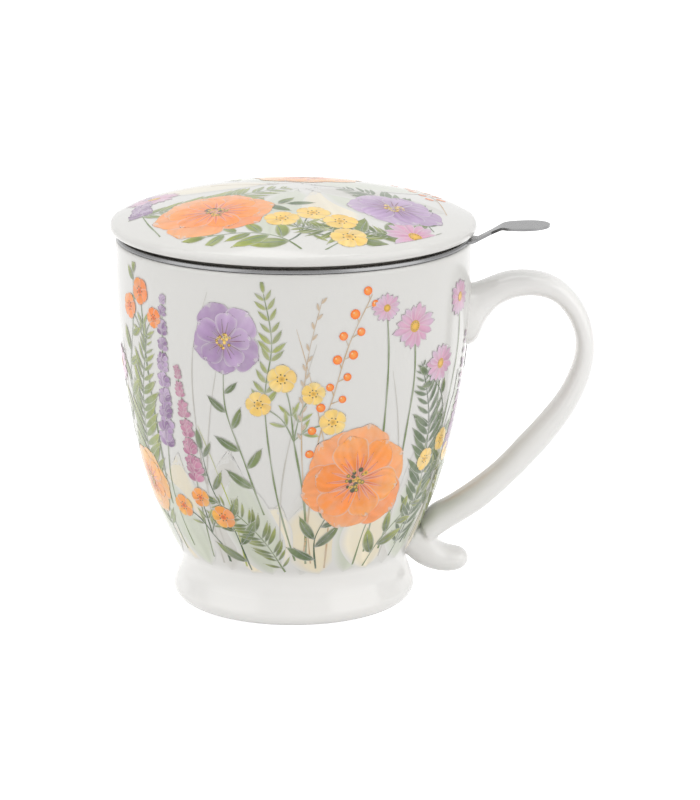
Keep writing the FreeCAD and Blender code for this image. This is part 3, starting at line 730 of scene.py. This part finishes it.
for name, side, seed in (("mug_print_front", 0.0, 7), ("mug_print_back", 172.0, 19)):
    meadow = Painter(seed)

    def at(turn, height):
        return MugSkin(turn + side, height)
    # pale washes that rise from the waist
    for turn, angle, length, width, colour, depth in (
            (-84, 8, 62, 15, SMOKE, 0.55), (-70, -10, 44, 18, MIST, 0.7), (-56, 14, 36, 17, STRAW, 0.4),
            (-43, -18, 30, 15, MIST, 0.7), (-31, 10, 40, 14, SMOKE, 0.55), (-20, 24, 26, 15, CREAM, 0.75),
            (-10, -16, 34, 15, MIST, 0.7), (3, 12, 40, 15, SMOKE, 0.55), (12, -14, 25, 15, STRAW, 0.4),
            (24, 12, 30, 16, MIST, 0.7), (37, -16, 26, 15, CREAM, 0.75), (47, 8, 44, 14, SMOKE, 0.55),
            (58, -12, 32, 16, MIST, 0.7), (70, 10, 30, 15, STRAW, 0.4), (80, -8, 54, 15, MIST, 0.7)):
        meadow.wash(at(turn, 14), angle, length, width, colour, depth)
    # grasses and ferns behind the flowers
    for turn, height, lean, tall, colour in (
            (-80, 20, 5, 60, TAN), (-58, 17, -6, 34, SAGE), (-34, 16, 4, 58, SMOKE),
            (-22, 16, -5, 42, LIME), (-6, 16, 6, 66, SMOKE), (14, 16, -6, 70, TAN),
            (28, 16, 5, 32, SAGE), (42, 17, -4, 56, SMOKE), (66, 18, 5, 62, SAGE),
            (82, 24, -3, 50, TAN)):
        blade = [(0, 0), (lean * 0.2, tall * 0.4), (lean, tall * 0.75), (lean * 1.8, tall)]
        meadow.grass(at(turn, height), blade, colour, 0.5)
    meadow.fern(at(-62, 18), [(0, 0), (-2, 20), (1, 42), (7, 62)], 24, 11, SAGE, LIME, SAGE)
    meadow.fern(at(50, 16), [(0, 0), (3, 18), (2, 40), (-4, 58)], 24, 10, MOSS, SAGE, MOSS)
    meadow.fern(at(-4, 15), [(0, 0), (-5, 10), (-12, 18), (-20, 22)], 16, 7, MOSS, LIME, SAGE)
    meadow.fern(at(80, 15), [(0, 0), (-2, 14), (-6, 28)], 16, 8, SAGE, LIME, SAGE)
    meadow.leafy(at(-20, 15), [(0, 0), (-3, 14), (-8, 26), (-10, 36)], 8, 11, 3.2, MOSS, SAGE, MOSS,
                 start=0.08)
    meadow.leafy(at(34, 15), [(0, 0), (3, 8), (9, 15), (16, 20)], 7, 10, 3.6, MOSS, LIME, SAGE)
    meadow.leafy(at(10, 16), [(0, 0), (-1, 10), (2, 18)], 5, 11, 3.2, MOSS, SAGE, MOSS)
    # broad orange flower low on the right, and a smaller one on the far left
    meadow.bloom(at(23, 42), 15.5, 6, ORANGE, APRICOT, (BARK, YELLOW, MOSS), 12)
    meadow.bloom(at(-68, 36), 10.0, 6, ORANGE, YELLOW, (BARK, YELLOW), 30)
    # mauve and violet: one broad flower above, spikes on both sides
    meadow.leafy(at(-20, 52), [(6, -20), (2, -4), (-2, 10), (-2, 22)], 7, 9, 2.8, SAGE, MOSS, SAGE)
    meadow.bloom(at(-22, 80), 10.0, 5, VIOLET, LILAC, (YELLOW, BARK, STRAW), 40, notch=0.16)
    meadow.spike(at(-50, 40), [(0, -22), (-1, -4), (2, 18), (4, 50)], 24, VIOLET, LILAC, 3.2)
    meadow.spike(at(-39, 36), [(0, -20), (1, -6), (1, 12), (-1, 36)], 20, MAUVE, PINK, 3.0)
    meadow.spike(at(72, 30), [(0, -12), (-1, 10), (2, 28), (3, 46)], 16, VIOLET, MAUVE, 2.8)
    # cups in the middle and low on the left, berries and a seed stalk above them
    meadow.buttercups(at(0, 50), (3, -34), (0, 4), [(-9, 14), (-3, 21), (5, 17), (10, 9)],
                      YELLOW, STRAW, SAGE, 3.7)
    meadow.buttercups(at(-37, 26), (4, -10), (1, -1), [(-7, 6), (0, 10), (6, 5)],
                      ORANGE, YELLOW, MOSS, 3.4)
    meadow.berries(at(14, 70), [(-6, -50), (-5, -20), (-1, -4), (3, 10), (9, 22)], 15, 1.3, 0.36)
    meadow.grass(at(4, 50), [(2, -34), (-1, 0), (0, 24), (4, 42)], TAN, 0.4, 16)
    # daisies on long stems towards the handle
    for turn, height, radius in ((41, 82, 7.4), (55, 70, 6.4), (30, 88, 4.6), (66, 86, 6.0)):
        flower = at(turn, height)
        stalk = [(0, 0), (1, -14), (4 - turn * 0.1, 50 - height), (6 - turn * 0.16, 18 - height)]
        meadow.stem(flower, stalk, 0.42, SAGE, Painter.BLADE, 0.6)
        meadow.daisy(flower, radius, turn, 0.86)
    # fillers at both sides and between the flowers
    meadow.buttercups(at(62, 36), (-4, -18), (0, 0), [(-6, 8), (1, 12), (7, 7)],
                      YELLOW, STRAW, MOSS, 3.4)
    meadow.daisy(at(-80, 66), 6.5, 10, 0.9)
    meadow.leafy(at(-66, 60), [(-4, -14), (-2, 4), (3, 20), (4, 33)], 9, 9, 3.2, SAGE, LIME, SAGE)
    meadow.buttercups(at(-58, 80), (2, -50), (2, -6), [(-5, 4), (1, 9), (7, 3)],
                      ORANGE, APRICOT, SAGE, 3.4)
    meadow.leafy(at(-8, 60), [(5, -43), (1, -20), (-1, 4), (1, 20), (-1, 33)], 11, 7, 2.0,
                 LIME, SAGE, SAGE, start=0.62, alternate=False)
    meadow.leafy(at(60, 52), [(2, -34), (4, -16), (2, 0), (-2, 10), (-9, 16)], 7, 8, 3.4,
                 MOSS, SAGE, MOSS)
    meadow.grass(at(-30, 20), [(0, 0), (-3, 30), (-3, 56), (2, 74)], SMOKE, 0.45)
    meadow.leafy(at(-82, 40), [(0, -20), (2, 8), (0, 20)], 8, 11, 3.6, MOSS, SAGE, SAGE, spread=46)
    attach(meadow.finish(name), "mug")

# Printed decoration on the lid: the same transfer, laid on the dome inside a plain
# brim. The garland is laid out in plan, and its coats are half as high as the mug's.
lid_top = [point for point in lid_outline if point[1] > shoulder_height - 0.01][::-1]


class LidSkin:
    """A spot on the lid's dome, by its place in plan."""
    widest = 45.6
    coat_share = 0.5

    def __init__(self, x, y):
        self.x = x
        self.y = y

    def spot(self, u, v, lift):
        """The place u and v away from the spot in plan, and lift out from the glaze."""
        x = self.x + u
        y = self.y + v
        far = math.hypot(x, y)
        if far > self.widest:
            x = x * self.widest / far
            y = y * self.widest / far
            far = self.widest
        k = 1
        while lid_top[k][0] < far:
            k += 1
        (r0, z0), (r1, z1) = lid_top[k - 1], lid_top[k]
        step = math.hypot(r1 - r0, z1 - z0)
        height = z0 + (z1 - z0) * (far - r0) / (r1 - r0)
        lift *= self.coat_share
        out = (far + (z0 - z1) / step * lift) / max(far, 1e-6)
        return Vector((x * out, y * out, height + (r1 - r0) / step * lift)) * MM


garland = Painter(5)
for x, y, angle, length, width, colour in (
        (-36, -18, 70, 40, 15, MIST), (-24, -34, 30, 36, 14, SMOKE), (-6, -40, 10, 40, 15, MIST),
        (14, -38, -14, 36, 15, CREAM), (30, -28, -40, 38, 14, MIST), (40, -8, -80, 38, 15, SMOKE),
        (36, 16, -110, 34, 15, MIST), (14, 38, -160, 34, 15, CREAM), (-16, 38, 160, 34, 15, MIST),
        (-38, 12, 100, 34, 15, CREAM)):
    garland.wash(LidSkin(x, y), angle, length, width, colour, 0.6)
garland.fern(LidSkin(-43, -12), [(0, 0), (12, 0), (26, 4), (42, 12)], 22, 11, SAGE, LIME, SAGE)
garland.fern(LidSkin(36, -26), [(0, 0), (-6, 12), (-14, 22), (-24, 28)], 20, 11, MOSS, SAGE, MOSS)
garland.fern(LidSkin(26, -36), [(0, 0), (-8, 2), (-18, 1), (-26, 4)], 16, 9, MOSS, LIME, MOSS)
garland.leafy(LidSkin(-26, -37), [(0, 0), (6, 10), (14, 18), (24, 20)], 9, 13, 5.0, MOSS, SAGE, TAN)
garland.leafy(LidSkin(2, -45), [(0, 0), (-6, 6), (-14, 9), (-24, 9)], 8, 12, 4.6, SAGE, LIME, SAGE)
garland.leafy(LidSkin(8, -45), [(0, 0), (8, 8), (18, 14), (30, 16)], 9, 13, 4.6, SAGE, MOSS, SAGE)
garland.bloom(LidSkin(-20, -20), 16.0, 6, ORANGE, APRICOT, (BARK, YELLOW, MOSS), 20)
garland.bloom(LidSkin(26, -14), 13.5, 5, VIOLET, LILAC, (YELLOW, BARK, STRAW), 40, notch=0.16)
garland.buttercups(LidSkin(4, -32), (-9, -12), (-2, -5), [(-7, 4), (1, 8), (8, 3), (10, -6)],
                   YELLOW, STRAW, MOSS, 4.6)
garland.spike(LidSkin(-40, -24), [(6, -6), (2, 6), (0, 20), (2, 36)], 20, VIOLET, LILAC, 3.4)
garland.daisy(LidSkin(31, -32), 8.5, 10)
garland.daisy(LidSkin(-37, 6), 7.5, 10)
garland.bloom(LidSkin(4, 22), 15.0, 6, ORANGE, YELLOW, (BARK, YELLOW), 0)
garland.berries(LidSkin(38, 6), [(2, -16), (0, 0), (-4, 12), (-12, 24)], 12, 1.5)
garland.leafy(LidSkin(-22, 34), [(0, 0), (8, -6), (20, -10)], 6, 11, 3.4, SAGE, LIME, SAGE)
garland.grass(LidSkin(-6, 2), [(-16, 10), (0, 4), (14, 12), (26, 22)], TAN, 0.4, 14)
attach(garland.finish("lid_print"), "lid")


# Floor and surround: a pale floor that keeps the mug's soft shadow, and an even white
# room. Both are at full white to the camera, in gloss and through glass, and dimmer
# where they only light the mug.
def seen_share(nodes, links):
    """A socket that is 1 for what the camera sees, also in gloss and through glass, else 0."""
    ray = nodes.new("ShaderNodeLightPath")
    straight = nodes.new("ShaderNodeMath")
    straight.operation = "MAXIMUM"
    through = nodes.new("ShaderNodeMath")
    through.operation = "MAXIMUM"
    links.new(ray.outputs["Is Camera Ray"], straight.inputs[0])
    links.new(ray.outputs["Is Glossy Ray"], straight.inputs[1])
    links.new(straight.outputs["Value"], through.inputs[0])
    links.new(ray.outputs["Is Transmission Ray"], through.inputs[1])
    return through.outputs["Value"]


bpy.ops.mesh.primitive_plane_add(size=6.0, location=(0, 1.2, -0.0001))
floor = bpy.context.object
floor.name = "floor"
floor_white = bpy.data.materials.new("floor_white")
floor_white.use_nodes = True
nodes = floor_white.node_tree.nodes
links = floor_white.node_tree.links
matte = nodes["Principled BSDF"]
matte.inputs["Base Color"].default_value = (0.86, 0.86, 0.86, 1)
matte.inputs["Roughness"].default_value = 0.9
matte.inputs["Emission Color"].default_value = (1, 1, 1, 1)
glow = nodes.new("ShaderNodeMath")
glow.operation = "MULTIPLY"
glow.inputs[1].default_value = 0.62
links.new(seen_share(nodes, links), glow.inputs[0])
links.new(glow.outputs["Value"], matte.inputs["Emission Strength"])
floor.data.materials.append(floor_white)
room = bpy.data.worlds.new("surround")
bpy.context.scene.world = room
room.use_nodes = True
nodes = room.node_tree.nodes
links = room.node_tree.links
room_light = nodes["Background"]
room_light.inputs["Color"].default_value = (1, 1, 1, 1)
level = nodes.new("ShaderNodeMapRange")
level.inputs["To Min"].default_value = 0.51
level.inputs["To Max"].default_value = 1.0
links.new(seen_share(nodes, links), level.inputs["Value"])
links.new(level.outputs["Result"], room_light.inputs["Strength"])

# Studio lamps: three broad soft boxes, one over the mug and one at each side of the
# camera. Each has its place, the height it aims at, its width and height, and watts.
for name, place, aim_height, width, height, watts in (
        ("key_top", (-0.1, -0.1, 0.95), 0.06, 0.9, 0.9, 4.2),
        ("side_left", (-0.95, -0.5, 0.35), 0.05, 1.1, 1.3, 5.0),
        ("side_right", (0.95, -0.5, 0.38), 0.05, 1.1, 1.3, 6.5)):
    light = bpy.data.lights.new(name, "AREA")
    light.shape = "RECTANGLE"
    light.size = width
    light.size_y = height
    light.energy = watts
    soft_box = bpy.data.objects.new(name, light)
    soft_box.location = place
    aim = Vector((0, 0, aim_height)) - Vector(place)
    soft_box.rotation_euler = aim.to_track_quat("-Z", "Y").to_euler()
    bpy.context.scene.collection.objects.link(soft_box)

# Camera: it stands where the photograph was taken from, fitted to the outlines of foot,
# body, lid and handle. Its pitch, yaw and roll are turned into its three directions.
pitch = math.radians(14.90)
yaw = math.radians(1.062)
roll = math.radians(0.23)
stand = Vector((0.0, -0.8150, 0.2699))
ahead = Vector((math.sin(yaw) * math.cos(pitch), math.cos(yaw) * math.cos(pitch), -math.sin(pitch)))
level_right = Vector((math.cos(yaw), -math.sin(yaw), 0))
level_up = level_right.cross(ahead)
right = math.cos(roll) * level_right + math.sin(roll) * level_up
up = -math.sin(roll) * level_right + math.cos(roll) * level_up
camera = bpy.data.objects.new("camera", bpy.data.cameras.new("camera"))
bpy.context.scene.collection.objects.link(camera)
camera.data.lens = 141.38
camera.data.sensor_width = 36.0
camera.matrix_world = Matrix((
    (right.x, up.x, -ahead.x, stand.x),
    (right.y, up.y, -ahead.y, stand.y),
    (right.z, up.z, -ahead.z, stand.z),
    (0, 0, 0, 1)))
bpy.context.scene.camera = camera
bpy.context.scene.view_settings.view_transform = "Standard"
